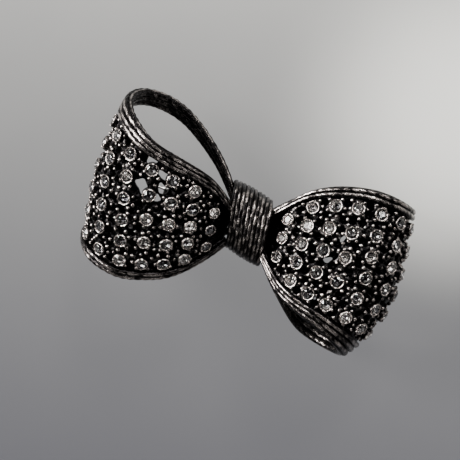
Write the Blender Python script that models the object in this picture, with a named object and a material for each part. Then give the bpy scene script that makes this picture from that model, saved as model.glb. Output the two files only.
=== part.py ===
"""A cast bow brooch with two openwork loops set with round stones, and the pin fittings on its back.

Lengths are in metres, written as millimetres times MM. +Z points out of the brooch's face, +X runs
along the bow and +Y across it. It lies on its back on the plane z = 0.

Each loop is a ribbon. A place on it is (s, v, out): s is the distance along the ribbon, from its
root at the front of the knot, round the outer bend and back to the knot behind; v is the distance
across from the ribbon's middle line; out is the height over its outer surface. The left loop is the
right one turned half a turn about Z, but for the slant of its columns and the right one's drawn-in
corner. Side 1 of a loop is the edge at +v, which is the right loop's upper edge and the left's lower.
"""

import math

import bmesh
import bpy
from mathutils import Matrix, Vector

MM = 0.001
GAP = 0.2 * MM

# The ribbon's path, seen along Y: x from the knot's middle, w above the loop's own middle plane.
ROOT_X = 2.6 * MM
END_X = 22.7 * MM
BEND_RADIUS = 6.5 * MM
MIDDLE_W = 0.9 * MM
ROOT_HALF_SPREAD = 1.85 * MM
DOME = 1.4 * MM
TILT = math.radians(10.2)
LOOP_TURNS = {"right": 0, "left": math.pi}

# How far the corner at -v is drawn in along X at the bend, and the v that it is measured at.
CORNER_DRAW = {"right": 3.2 * MM, "left": 0}
CORNER_V = 12 * MM

# Half the ribbon's width, and how far its middle line strays along Y, at fractions of its length.
HALF_WIDTHS = ((0, 3.1), (0.12, 8.2), (0.28, 10.9), (0.5, 12.2), (0.72, 11.8), (0.88, 7.9), (1, 3.1))
MIDDLE_SHIFTS = ((0, 0), (0.28, 0.2), (0.5, -2.1), (0.72, -1.6), (1, 0))

# Edge bands, which carry three raised cords, with their widths at fractions of the length.
RIM_WIDTHS = {
    1: ((0, 1.3), (0.25, 1.5), (0.5, 1.7), (0.8, 1.8), (1, 1.4)),
    -1: ((0, 1.3), (0.25, 1.9), (0.5, 2.6), (0.8, 2.4), (1, 1.4)),
}
RIM_BASE = -0.5 * MM
RIM_VALLEY = 0.3 * MM
RIM_CREST = 0.6 * MM
RIM_CORDS = 3
RIM_STATIONS = 44

# The front: eight-sided cups in columns, joined by struts as wide as a cup's side. The cells between
# them hold a sunk web, but for a few that are open. The columns lean by a loop's slant.
COLUMN_ROWS = (3, 5, 5, 5, 6, 6, 6)
FIRST_COLUMN_S = 3.8 * MM
COLUMN_PITCH = 3.2 * MM
FIRST_COLUMN_HALF_SPREAD = 2.9 * MM
ROW_MARGIN = 1.55 * MM
COLUMN_SLANTS = {"right": 0.05, "left": 0.18}
SLANT_FULL_S = 8 * MM
OPEN_CELLS = {
    "right": ((10.9, -1.7), (11.9, 2.6)),
    "left": ((14.6, -7.8), (12.2, -5.2), (15.0, -3.9), (12.2, -1.7)),
}
WEB_INSET = 0.72
WEB_TOP = -0.1 * MM
BORDER_WIDTH = 0.25 * MM
CUP_APOTHEM = 1.1 * MM
CUP_BORE_APOTHEM = 0.92 * MM
PANEL_UNDER = -0.45 * MM
STRUT_TOP = 0.3 * MM
CUP_TOP = 0.7 * MM
TONGUE_START_S = 0.3 * MM
TONGUE_END_S = 1.5 * MM
TONGUE_HALF_WIDTH = 1.6 * MM
HEM_START_S = 25.9 * MM
HEM_END_S = 26.7 * MM

# The stones.
STONE_SIDES = 10
STONE_RADIUS = 0.75 * MM
TABLE_RADIUS = 0.45 * MM
CROWN_HEIGHT = 0.3 * MM
GIRDLE_HEIGHT = 0.08 * MM
PAVILION_DEPTH = 0.55 * MM
STONE_SEAT = 0.5 * MM
STONES_PER_LOOP = 23

# The knot.
KNOT_HALF_LENGTH = 3.0 * MM
KNOT_HALF_WIDTH = 5.4 * MM
KNOT_FRONT_W = 5.2 * MM
KNOT_BACK_W = -3.5 * MM
KNOT_WALL = 0.42 * MM
KNOT_CROWN = 0.3 * MM
KNOT_SIDES = 32
KNOT_SQUARENESS = 0.43
KNOT_SLANT = math.tan(math.radians(7))
KNOT_WIDENING = 0.07
CORE_HALF_LENGTH = 1.5 * MM

# The pin fittings. The hinge is towards +X and the catch towards -X.
PLATE_THICKNESS = 0.8 * MM
PLATE_HALF_WIDTH = 2.0 * MM
PLATE_CATCH_END = -13.0 * MM
PLATE_HINGE_END = 14.6 * MM
PLATE_CORNER = 0.6 * MM
PIN_HEIGHT = 1.6 * MM
PIN_RADIUS = 0.38 * MM
PIN_TIP_X = -15.4 * MM
PIN_TAPER = 3.5 * MM
HINGE_X = 12.5 * MM
EYE_RADIUS = 1.1 * MM
EYE_HALF_THICKNESS = 0.45 * MM
RIVET_RADIUS = 0.4 * MM
RIVET_HEAD_RADIUS = 0.75 * MM
RIVET_HEAD_THICKNESS = 0.35 * MM
RIVET_FACE_RADIUS = 0.52 * MM
RIVET_BEVEL = 0.14 * MM
PIVOT_HOLE_RADIUS = 0.62 * MM
CHEEK_INSIDE = 0.72 * MM
CHEEK_OUTSIDE = 1.6 * MM
HINGE_HALF_LENGTH = 1.6 * MM
FOOT_THICKNESS = 0.35 * MM
CATCH_X = -12.3 * MM
BARREL_HALF_LENGTH = 0.75 * MM
BARREL_RADIUS = 1.6 * MM
BARREL_BORE = 1.2 * MM
BARREL_SLOT_HALF_WIDTH = 0.68 * MM
BARREL_PAD_HALF_WIDTH = 1.25 * MM
BARREL_SHOULDER_ANGLE = math.radians(38)
CATCH_FOOT_HALF_WIDTH = 1.3 * MM
ROTOR_RADIUS = 1.0 * MM
ROTOR_BORE = 0.68 * MM
ROTOR_LIP_RADIUS = 1.5 * MM
ROTOR_LIP_THICKNESS = 0.35 * MM
ROTOR_SLOT_HALF_ANGLE = math.radians(52)
TAB_RADIUS = 2.5 * MM
TAB_HALF_ANGLE = math.radians(14)


def clear_scene():
    for old in list(bpy.data.objects):
        bpy.data.objects.remove(old, do_unlink=True)


def make_material(name, colour, roughness, metallic):
    material = bpy.data.materials.new(name)
    material.use_nodes = True
    shader = material.node_tree.nodes["Principled BSDF"]
    shader.inputs["Base Color"].default_value = (*colour, 1)
    shader.inputs["Roughness"].default_value = roughness
    shader.inputs["Metallic"].default_value = metallic
    return material


def smooth_value(table, place):
    """A smooth curve through the table's (place, value) rows, with the mean slope at each."""
    places = [row[0] for row in table]
    values = [row[1] for row in table]
    last = len(table) - 1

    def slope(i):
        low = max(i - 1, 0)
        high = min(i + 1, last)
        return (values[high] - values[low]) / (places[high] - places[low])

    i = max(k for k in range(last) if places[k] <= place or k == 0)
    span = places[i + 1] - places[i]
    return hermite(
        (place - places[i]) / span, values[i], slope(i) * span, values[i + 1], slope(i + 1) * span
    )


def hermite(t, start, start_slope, end, end_slope):
    """A cubic from start to end with these slopes, at t from 0 to 1."""
    rise = t * t * (3 - 2 * t)
    return (
        start * (1 - rise)
        + end * rise
        + start_slope * t * (1 - t) ** 2
        - end_slope * t * t * (1 - t)
    )


def ribbon_path():
    """The ribbon's middle line seen along Y, as (distance, x, w) rows: front, round bend, back."""
    bend_x = END_X - BEND_RADIUS
    run = bend_x - ROOT_X
    rise = 2 * (BEND_RADIUS - ROOT_HALF_SPREAD)
    steps = 40
    front = []
    for i in range(steps):
        t = i / steps
        x = hermite(t, ROOT_X, run, bend_x, run)
        w = hermite(t, ROOT_HALF_SPREAD, rise, BEND_RADIUS, 0)
        front.append((x, w))
    bend = []
    for i in range(steps + 1):
        angle = math.pi / 2 - math.pi * i / steps
        bend.append((bend_x + BEND_RADIUS * math.cos(angle), BEND_RADIUS * math.sin(angle)))
    back = [(x, -w) for x, w in reversed(front)]
    rows = []
    distance = 0
    before = front[0]
    for point in front + bend + back:
        distance += math.dist(before, point)
        rows.append((distance, point[0], point[1] + MIDDLE_W))
        before = point
    return rows


PATH = ribbon_path()
RIBBON_LENGTH = PATH[-1][0]


def path_at(s):
    """(x, w) on the path and the direction (x, w) along it there."""
    i = next((k for k in range(1, len(PATH) - 1) if PATH[k][0] >= s), len(PATH) - 1)
    low = Vector(PATH[i - 1])
    high = Vector(PATH[i])
    place = low.lerp(high, (s - low[0]) / (high[0] - low[0]))
    along = Vector((high[1] - low[1], high[2] - low[2])).normalized()
    return Vector((place[1], place[2])), along


def half_width(s):
    return smooth_value(HALF_WIDTHS, s / RIBBON_LENGTH) * MM


def rim_width(s, side):
    return smooth_value(RIM_WIDTHS[side], s / RIBBON_LENGTH) * MM


def tilted_point(loop, s, v, out):
    """The place (s, v, out) on a loop, before the brooch is lifted onto the plane."""
    fraction = s / RIBBON_LENGTH
    place, along = path_at(s)
    outward = Vector((-along[1], along[0]))
    swell = max(math.sin(math.pi * fraction), 0)
    bulge = DOME * math.sqrt(swell) * (1 - (v / half_width(s)) ** 2)
    place += outward * (bulge + out)
    place[0] -= CORNER_DRAW[loop] * (min(v, 0) / CORNER_V) ** 2 * swell
    across = v + smooth_value(MIDDLE_SHIFTS, fraction) * MM
    flat = Vector((place[0], across, place[1]))
    turn = Matrix.Rotation(LOOP_TURNS[loop], 3, "Z")
    return turn @ Matrix.Rotation(-TILT, 3, "X") @ flat


def lowest_rim_point():
    """How far the rims' back edges reach below the loops' middle plane."""
    lowest = 0
    for i in range(RIM_STATIONS):
        s = RIBBON_LENGTH * i / (RIM_STATIONS - 1)
        for v, out in rim_section(s, 1) + rim_section(s, -1):
            lowest = min(lowest, tilted_point("left", s, v, out).z)
    return lowest


def rim_section(s, side):
    """The (v, out) outline of the edge band on this side of the ribbon, counter-clockwise."""
    outer = half_width(s)
    inner = outer - rim_width(s, side)
    points = [(inner, RIM_BASE), (outer, RIM_BASE)]
    waves = 2 * RIM_CORDS
    for i in range(waves + 1):
        height = RIM_CREST if i % 2 else RIM_VALLEY
        points.append((outer + (inner - outer) * i / waves, height))
    if side < 0:
        points = [(-v, out) for v, out in reversed(points)]
    return points


LIFT = -lowest_rim_point()


def ribbon_point(loop, s, v, out):
    return tilted_point(loop, s, v, out) + Vector((0, 0, LIFT))


def add_object(name, mesh, material, location=(0, 0, 0), turn=(0, 0, 0)):
    if not mesh.materials:
        mesh.materials.append(material)
    made = bpy.data.objects.new(name, mesh)
    made.location = location
    made.rotation_euler = turn
    bpy.context.collection.objects.link(made)
    return made


def finish_mesh(name, shape, sharp_angle=35):
    """Turns the faces outwards, shades them smooth up to the sharp angle and returns the mesh."""
    bmesh.ops.recalc_face_normals(shape, faces=shape.faces)
    mesh = bpy.data.meshes.new(name)
    shape.to_mesh(mesh)
    shape.free()
    mesh.shade_smooth()
    mesh.set_sharp_from_angle(angle=math.radians(sharp_angle))
    return mesh


def loft(name, sections, closed=False):
    """A solid through sections of equal point counts, capped at both ends or closed in a ring."""
    shape = bmesh.new()
    rings = [[shape.verts.new(point) for point in section] for section in sections]
    count = len(rings[0])
    following = rings[1:] + rings[:1] if closed else rings[1:]
    for ring, after in zip(rings, following):
        for i in range(count):
            j = (i + 1) % count
            shape.faces.new((ring[i], ring[j], after[j], after[i]))
    if not closed:
        shape.faces.new(rings[0][::-1])
        shape.faces.new(rings[-1])
    return finish_mesh(name, shape)


def turned(name, outline, sides, bore=False):
    """A solid turned about Z from (radius, z) rows. With a bore the outline closes on itself."""
    sections = []
    for i in range(sides):
        angle = 2 * math.pi * i / sides
        sections.append([Vector((r * math.cos(angle), r * math.sin(angle), z)) for r, z in outline])
    if bore:
        return loft(name, sections, closed=True)
    shape = bmesh.new()
    rings = [[shape.verts.new(section[k]) for section in sections] for k in range(1, len(outline) - 1)]
    for ring, after in zip(rings, rings[1:]):
        for i in range(sides):
            j = (i + 1) % sides
            shape.faces.new((ring[i], ring[j], after[j], after[i]))
    for ring, (radius, z) in ((rings[0], outline[0]), (rings[-1], outline[-1])):
        if radius > 0:
            raise ValueError("a turned outline starts and ends on its axis")
        if abs(ring[0].co.z - z) < 1e-7:
            shape.faces.new(ring)
            continue
        point = shape.verts.new((0, 0, z))
        for i in range(sides):
            shape.faces.new((ring[i], ring[(i + 1) % sides], point))
    return finish_mesh(name, shape)


def boolean(target, cutter, operation):
    """Joins the cutter to the target, or cuts it away, and removes the cutter."""
    modifier = target.modifiers.new(operation.lower(), "BOOLEAN")
    modifier.operation = operation
    modifier.solver = "EXACT"
    modifier.object = cutter
    bpy.context.view_layer.update()
    graph = bpy.context.evaluated_depsgraph_get()
    result = bpy.data.meshes.new_from_object(target.evaluated_get(graph))
    target.modifiers.clear()
    target.data = result
    bpy.data.objects.remove(cutter, do_unlink=True)
    result.shade_smooth()
    result.set_sharp_from_angle(angle=math.radians(35))


def slanted(loop, s, v):
    """s of a place once its column leans. The lean grows from nothing at the root."""
    share = min(s / SLANT_FULL_S, 1)
    return s - COLUMN_SLANTS[loop] * share * v


def field_reach(loop, s, side):
    """How far the front reaches on this side, short of the edge band, once s is slanted."""
    reach = 0
    for _ in range(8):
        place = slanted(loop, s, side * reach)
        reach = half_width(place) - rim_width(place, side) - GAP
    return reach


def row_places(loop, column):
    """Where the cups of this column lie across the ribbon, top row first."""
    rows = COLUMN_ROWS[column]
    s = FIRST_COLUMN_S + column * COLUMN_PITCH
    if column == 0:
        top = FIRST_COLUMN_HALF_SPREAD
        bottom = -top
    else:
        top = field_reach(loop, s, 1) - ROW_MARGIN
        bottom = ROW_MARGIN - field_reach(loop, s, -1)
    return [top + (bottom - top) * row / (rows - 1) for row in range(rows)]


def cup_places(loop):
    """{(column, row): (s, v)} for every cup of a loop, before the columns are slanted."""
    places = {}
    for column in range(len(COLUMN_ROWS)):
        for row, v in enumerate(row_places(loop, column)):
            places[column, row] = (FIRST_COLUMN_S + column * COLUMN_PITCH, v)
    return places


def strut_pairs():
    """Pairs ((column, row), side, (column, row), side) of cups that a strut joins.

    A side is counted counter-clockwise in eighths of a turn, with 0 facing along the ribbon.
    """
    along, up_along, up, up_back, back, down_back, down, down_along = range(8)
    pairs = []
    for column, rows in enumerate(COLUMN_ROWS):
        for row in range(rows - 1):
            pairs.append(((column, row), down, (column, row + 1), up))
        if column + 1 == len(COLUMN_ROWS):
            continue
        next_rows = COLUMN_ROWS[column + 1]
        if next_rows == rows:
            for row in range(rows):
                pairs.append(((column, row), along, (column + 1, row), back))
        elif next_rows == rows + 1:
            for row in range(rows):
                pairs.append(((column, row), up_along, (column + 1, row), down_back))
                pairs.append(((column, row), down_along, (column + 1, row + 1), up_back))
        else:
            for row in range(rows):
                pairs.append(((column, row), along, (column + 1, row + 1), back))
            pairs.append(((column, 0), up_along, (column + 1, 0), down_back))
            pairs.append(((column, rows - 1), down_along, (column + 1, rows + 1), up_back))
    return pairs


def border_stations(loop, half_side):
    """(near, far, cup, side) rows round the front's border, counter-clockwise, two for each side of
    a cup that faces it. Near and far are (s, v), and a cup's first row comes before its second."""
    last = len(COLUMN_ROWS) - 1
    tongue_scale = TONGUE_HALF_WIDTH / (FIRST_COLUMN_HALF_SPREAD + half_side)
    stations = []

    def along_edge(columns, edge, step):
        for column in columns:
            row = 0 if edge > 0 else COLUMN_ROWS[column] - 1
            middle = FIRST_COLUMN_S + column * COLUMN_PITCH
            for s in (middle - step * half_side, middle + step * half_side):
                reach = field_reach(loop, s, edge)
                near = (s, edge * (reach - BORDER_WIDTH))
                stations.append((near, (s, edge * reach), (column, row), 4 - 2 * edge))

    def across_end(column, near_s, far_s, scale, step, side):
        rows = list(enumerate(row_places(loop, column)))
        for row, v in rows[::-step]:
            for place in (v - step * half_side, v + step * half_side):
                stations.append(((near_s, scale * place), (far_s, scale * place), (column, row), side))

    along_edge(range(last + 1), -1, 1)
    across_end(last, HEM_START_S, HEM_END_S, 1, 1, 0)
    along_edge(range(last, -1, -1), 1, -1)
    across_end(0, TONGUE_END_S, TONGUE_START_S, tongue_scale, -1, 4)
    return stations


def empty_cells(faces):
    """The loops of points round the map's empty places, the outside among them."""
    edges = set()
    for face in faces:
        edges.update(zip(face, face[1:] + face[:1]))
    following = {j: i for i, j in edges if (j, i) not in edges}
    cells = []
    while following:
        cell = [next(iter(following))]
        while cell[-1] in following:
            cell.append(following.pop(cell[-1]))
        cells.append(cell[:-1])
    return cells


def panel_map(loop):
    """The front as a flat map: points (s, v, under, top) and faces that index them."""
    points = []
    faces = []
    outer = {}
    to_corner = 1 / math.cos(math.pi / 8)
    half_side = CUP_APOTHEM * math.tan(math.pi / 8)
    for cup, (s, v) in cup_places(loop).items():
        first = len(points)
        for apothem, top in ((CUP_APOTHEM, STRUT_TOP), (CUP_BORE_APOTHEM, CUP_TOP)):
            for i in range(8):
                angle = math.pi / 8 + math.pi / 4 * i
                radius = apothem * to_corner
                place = (s + radius * math.cos(angle), v + radius * math.sin(angle))
                points.append((*place, PANEL_UNDER, top))
        outer[cup] = [first + i for i in range(8)]
        for i in range(8):
            j = (i + 1) % 8
            faces.append((first + i, first + j, first + 8 + j, first + 8 + i))

    def side_of(cup, side):
        """The two corners of a cup's side, counter-clockwise."""
        return outer[cup][(side - 1) % 8], outer[cup][side]

    for cup, side, other, other_side in strut_pairs():
        start, stop = side_of(cup, side)
        other_start, other_stop = side_of(other, other_side)
        faces.append((start, other_stop, other_start, stop))

    stations = border_stations(loop, half_side)
    first = len(points)
    for near, far, _, _ in stations:
        points.append((*near, PANEL_UNDER, STRUT_TOP))
        points.append((*far, PANEL_UNDER, STRUT_TOP))
    for i, (_, _, cup, side) in enumerate(stations):
        near = first + 2 * i
        after = first + 2 * ((i + 1) % len(stations))
        faces.append((near, near + 1, after + 1, after))
        if i % 2 == 0:
            start, stop = side_of(cup, side)
            faces.append((near, after, stop, start))

    def middle(cell):
        s = sum(points[i][0] for i in cell) / len(cell)
        v = sum(points[i][1] for i in cell) / len(cell)
        return s, v

    cells = empty_cells(faces)
    outside = max(cells, key=len)
    cells = [cell for cell in cells if cell is not outside and points[cell[0]][3] != CUP_TOP]
    for s, v in OPEN_CELLS[loop]:
        wanted = (s * MM, v * MM)
        cells.remove(min(cells, key=lambda cell: math.dist(middle(cell), wanted)))
    for cell in cells:
        s, v = middle(cell)
        first = len(points)
        for i in cell:
            place = (s + WEB_INSET * (points[i][0] - s), v + WEB_INSET * (points[i][1] - v))
            points.append((*place, PANEL_UNDER, WEB_TOP))
        count = len(cell)
        for i in range(count):
            j = (i + 1) % count
            faces.append((cell[i], cell[j], first + j, first + i))
        faces.append(tuple(range(first, first + count)))
    return [(slanted(loop, s, v), v, under, top) for s, v, under, top in points], faces


def build_panel_mesh(loop):
    """Thickens the flat map of the front over the ribbon's surface."""
    points, faces = panel_map(loop)
    shape = bmesh.new()
    under = [shape.verts.new(ribbon_point(loop, s, v, low)) for s, v, low, top in points]
    over = [shape.verts.new(ribbon_point(loop, s, v, top)) for s, v, low, top in points]
    uses = {}
    for face in faces:
        shape.faces.new([over[i] for i in face])
        shape.faces.new([under[i] for i in reversed(face)])
        for i, j in zip(face, face[1:] + face[:1]):
            key = (min(i, j), max(i, j))
            uses[key] = uses.get(key, 0) + 1
    for (i, j), count in uses.items():
        if count == 1:
            shape.faces.new((under[i], under[j], over[j], over[i]))
    return finish_mesh("openwork", shape)


def build_rim_mesh(loop, side):
    sections = []
    for i in range(RIM_STATIONS):
        s = RIBBON_LENGTH * i / (RIM_STATIONS - 1)
        sections.append([ribbon_point(loop, s, v, out) for v, out in rim_section(s, side)])
    return loft("edge_band", sections)


def stone_frame(loop, s, v):
    """Where a stone sits and how it faces: its place and its axes as a matrix."""
    reach = 0.2 * MM
    centre = ribbon_point(loop, s, v, STONE_SEAT)
    ahead = ribbon_point(loop, s + reach, v, STONE_SEAT)
    behind = ribbon_point(loop, s - reach, v, STONE_SEAT)
    above = ribbon_point(loop, s, v + reach, STONE_SEAT)
    below = ribbon_point(loop, s, v - reach, STONE_SEAT)
    along = ahead - behind
    across = above - below
    facing = along.cross(across).normalized()
    along.normalize()
    axes = Matrix((along, facing.cross(along), facing)).transposed()
    return Matrix.Translation(centre) @ axes.to_4x4()


def add_stones(loop, mesh, material):
    places = list(cup_places(loop).values())[:STONES_PER_LOOP]
    for number, (s, v) in enumerate(places, 1):
        frame = stone_frame(loop, slanted(loop, s, v), v)
        name = f"{loop}_stone_{number:02d}"
        add_object(name, mesh, material, frame.to_translation(), frame.to_euler())


def add_loops(metal, glass):
    """Both loops: the front, the two edge bands and the stones."""
    half_girdle = GIRDLE_HEIGHT / 2
    outline = (
        (0, -PAVILION_DEPTH),
        (STONE_RADIUS, -half_girdle),
        (STONE_RADIUS, half_girdle),
        (TABLE_RADIUS, CROWN_HEIGHT),
        (0, CROWN_HEIGHT),
    )
    stone = turned("chaton", outline, STONE_SIDES)
    for loop, upper in (("right", 1), ("left", -1)):
        add_object(f"{loop}_panel", build_panel_mesh(loop), metal)
        add_object(f"{loop}_upper_rim", build_rim_mesh(loop, upper), metal)
        add_object(f"{loop}_lower_rim", build_rim_mesh(loop, -upper), metal)
        add_stones(loop, stone, glass)


def round_box_outline(half_width_y, low, high, sides):
    """A rounded rectangle in the YZ plane, as a superellipse between the heights low and high."""
    middle = (low + high) / 2
    half_height = (high - low) / 2
    points = []
    for i in range(sides):
        angle = 2 * math.pi * (i + 0.5) / sides
        y = half_width_y * math.copysign(abs(math.cos(angle)) ** KNOT_SQUARENESS, math.cos(angle))
        z = middle + half_height * math.copysign(abs(math.sin(angle)) ** KNOT_SQUARENESS, math.sin(angle))
        points.append((y, z))
    return points


def knot_ring(x, inset):
    """The knot's outline at x, drawn in by inset. The knot leans, and is wider at +Y."""
    outline = round_box_outline(
        KNOT_HALF_WIDTH - inset, KNOT_BACK_W + LIFT + inset, KNOT_FRONT_W + LIFT - inset, KNOT_SIDES
    )
    ring = []
    for y, z in outline:
        place = x * (1 + KNOT_WIDENING * y / KNOT_HALF_WIDTH) - KNOT_SLANT * y
        ring.append(Vector((place, y, z)))
    return ring


def add_knot(metal):
    edge = KNOT_HALF_LENGTH
    loops = [
        (-edge, KNOT_WALL),
        (-edge, KNOT_CROWN),
        (-edge / 2, KNOT_CROWN / 4),
        (0, 0),
        (edge / 2, KNOT_CROWN / 4),
        (edge, KNOT_CROWN),
        (edge, KNOT_WALL),
    ]
    rings = [knot_ring(x, inset) for x, inset in loops]
    add_object("knot_wrap", loft("band", rings, closed=True), metal)
    inset = KNOT_WALL + GAP
    core = loft("core", [knot_ring(-CORE_HALF_LENGTH, inset), knot_ring(CORE_HALF_LENGTH, inset)])
    add_object("waist_core", core, metal)


def extrude_outline(name, outline, axis, low, high):
    """A prism along X or Y. The outline's rows are (y, z) for X and (x, z) for Y."""
    def place(point, depth):
        a, b = point
        return Vector((depth, a, b)) if axis == "X" else Vector((a, depth, b))

    return loft(name, [[place(p, low) for p in outline], [place(p, high) for p in outline]])


def arc(radius, start, stop, steps):
    """(y, z) points round the X axis, angles in radians from +Y towards +Z."""
    points = []
    for i in range(steps + 1):
        angle = start + (stop - start) * i / steps
        points.append((radius * math.cos(angle), radius * math.sin(angle)))
    return points


def plate_underside():
    return LIFT + KNOT_BACK_W - GAP - PLATE_THICKNESS


def add_pin_plate(metal):
    """A flat bar close under the knot, round at the hinge end and with cut corners at the other."""
    low = plate_underside()
    round_middle = PLATE_HINGE_END - PLATE_HALF_WIDTH
    outline = [(round_middle + x, y) for y, x in arc(PLATE_HALF_WIDTH, 0, math.pi, 10)]
    outline.append((PLATE_CATCH_END + PLATE_CORNER, -PLATE_HALF_WIDTH))
    outline.append((PLATE_CATCH_END, -PLATE_HALF_WIDTH + PLATE_CORNER))
    outline.append((PLATE_CATCH_END, PLATE_HALF_WIDTH - PLATE_CORNER))
    outline.append((PLATE_CATCH_END + PLATE_CORNER, PLATE_HALF_WIDTH))
    sections = [[Vector((x, y, z)) for x, y in outline] for z in (low, low + PLATE_THICKNESS)]
    add_object("pin_plate", loft("bar", sections), metal)


def add_hinge(metal):
    """The hinge block's foot and cheeks, and the rivet through them."""
    top = plate_underside() - GAP - PIN_HEIGHT
    under_foot = top - FOOT_THICKNESS
    bottom = -PIN_HEIGHT
    outline = (
        (-CHEEK_OUTSIDE, bottom),
        (-CHEEK_INSIDE, bottom),
        (-CHEEK_INSIDE, under_foot),
        (CHEEK_INSIDE, under_foot),
        (CHEEK_INSIDE, bottom),
        (CHEEK_OUTSIDE, bottom),
        (CHEEK_OUTSIDE, top),
        (-CHEEK_OUTSIDE, top),
    )
    axis_place = (HINGE_X, 0, PIN_HEIGHT)
    mesh = extrude_outline("cheeks", outline, "X", -HINGE_HALF_LENGTH, HINGE_HALF_LENGTH)
    block = add_object("hinge_block", mesh, metal, axis_place)
    drill_outline = (
        (0, -2 * CHEEK_OUTSIDE),
        (PIVOT_HOLE_RADIUS, -2 * CHEEK_OUTSIDE),
        (PIVOT_HOLE_RADIUS, 2 * CHEEK_OUTSIDE),
        (0, 2 * CHEEK_OUTSIDE),
    )
    drill_mesh = turned("drill", drill_outline, 20)
    drill = add_object("drill", drill_mesh, metal, axis_place, (math.pi / 2, 0, 0))
    boolean(block, drill, "DIFFERENCE")
    shoulder = CHEEK_OUTSIDE + GAP
    head = shoulder + RIVET_HEAD_THICKNESS
    rivet_outline = (
        (0, -head),
        (RIVET_FACE_RADIUS, -head),
        (RIVET_HEAD_RADIUS, RIVET_BEVEL - head),
        (RIVET_HEAD_RADIUS, -shoulder),
        (RIVET_RADIUS, -shoulder),
        (RIVET_RADIUS, shoulder),
        (RIVET_HEAD_RADIUS, shoulder),
        (RIVET_HEAD_RADIUS, head - RIVET_BEVEL),
        (RIVET_FACE_RADIUS, head),
        (0, head),
    )
    rivet = turned("rivet", rivet_outline, 20)
    add_object("hinge_rivet", rivet, metal, axis_place, (math.pi / 2, 0, 0))


def add_pin_stem(steel):
    """The eye round the rivet and the pointed wire, with the origin on the hinge's axis."""
    eye_outline = (
        (PIVOT_HOLE_RADIUS, -EYE_HALF_THICKNESS),
        (EYE_RADIUS, -EYE_HALF_THICKNESS),
        (EYE_RADIUS, EYE_HALF_THICKNESS),
        (PIVOT_HOLE_RADIUS, EYE_HALF_THICKNESS),
    )
    hinge = (HINGE_X, 0, PIN_HEIGHT)
    eye = turned("stem", eye_outline, 24, bore=True)
    stem = add_object("pin_stem", eye, steel, hinge, (math.pi / 2, 0, 0))
    start = (PIVOT_HOLE_RADIUS + EYE_RADIUS) / 2
    length = HINGE_X - PIN_TIP_X
    wire_outline = (
        (0, start),
        (PIN_RADIUS, start),
        (PIN_RADIUS, length - PIN_TAPER),
        (PIN_RADIUS * 0.62, length - PIN_TAPER * 0.4),
        (PIN_RADIUS * 0.12, length - 0.05 * MM),
        (0, length),
    )
    wire_mesh = turned("wire", wire_outline, 14)
    wire = add_object("wire", wire_mesh, steel, hinge, (0, -math.pi / 2, 0))
    boolean(stem, wire, "UNION")


def add_catch(metal, steel):
    """The slotted barrel on its foot, and the rotor that turns inside it. Both are open downwards."""
    down = -math.pi / 2
    slot = math.asin(BARREL_SLOT_HALF_WIDTH / BARREL_BORE)
    top = plate_underside() - GAP - PIN_HEIGHT
    jaw = math.acos(BARREL_PAD_HALF_WIDTH / BARREL_RADIUS)
    half = [(BARREL_SLOT_HALF_WIDTH, -PIN_HEIGHT), (BARREL_PAD_HALF_WIDTH, -PIN_HEIGHT)]
    half += arc(BARREL_RADIUS, -jaw, BARREL_SHOULDER_ANGLE, 8)
    half.append((CATCH_FOOT_HALF_WIDTH, top))
    outline = half + [(-y, z) for y, z in reversed(half)]
    outline += arc(BARREL_BORE, down - slot, down + slot - 2 * math.pi, 26)
    place = (CATCH_X, 0, PIN_HEIGHT)
    barrel = extrude_outline("barrel", outline, "X", -BARREL_HALF_LENGTH, BARREL_HALF_LENGTH)
    add_object("catch_body", barrel, metal, place)

    inner = BARREL_HALF_LENGTH + GAP
    outer = inner + ROTOR_LIP_THICKNESS
    stations = (
        (outer, ROTOR_LIP_RADIUS, False),
        (inner, ROTOR_LIP_RADIUS, False),
        (inner, ROTOR_RADIUS, False),
        (-inner, ROTOR_RADIUS, False),
        (-inner, ROTOR_LIP_RADIUS, True),
        (-outer, ROTOR_LIP_RADIUS, True),
    )
    steps = 30
    start = down + ROTOR_SLOT_HALF_ANGLE
    stop = down + 2 * math.pi - ROTOR_SLOT_HALF_ANGLE
    sections = []
    for i in range(steps + 1):
        angle = start + (stop - start) * i / steps
        on_tab = abs(angle) < TAB_HALF_ANGLE
        section = []
        for x, radius, has_tab in stations:
            reach = TAB_RADIUS if has_tab and on_tab else radius
            section.append(Vector((x, reach * math.cos(angle), reach * math.sin(angle))))
        for x in (-outer, outer):
            section.append(Vector((x, ROTOR_BORE * math.cos(angle), ROTOR_BORE * math.sin(angle))))
        sections.append(section)
    add_object("catch_rotor", loft("rotor", sections), steel, place)


def main():
    clear_scene()
    metal = make_material("blackened_silver", (0.16, 0.155, 0.15), 0.35, 1)
    steel = make_material("pin_steel", (0.55, 0.55, 0.54), 0.3, 1)
    glass = make_material("clear_stone", (0.85, 0.87, 0.9), 0.05, 0)
    add_loops(metal, glass)
    add_knot(metal)
    add_pin_plate(metal)
    add_hinge(metal)
    add_pin_stem(steel)
    add_catch(metal, steel)


main()
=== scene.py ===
"""The bow brooch as it looks: blackened cast metal, faceted stones, a pale floor that glows with
painted light, and soft light.

It uses the CAD's frame: metres, +Z out of the face, +X along the bow, +Y across it. A place on a
loop is (s, v, out), in millimetres: s runs along the ribbon from its root at the front of the knot,
round the bend and back to the knot, v across it from its middle line, and out over its surface.
The brooch's sizes are in millimetres. The floor's, camera's, light's and materials' are in metres.
"""

import math
import random

import bpy
import numpy as np
from mathutils import Matrix, Vector


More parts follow.
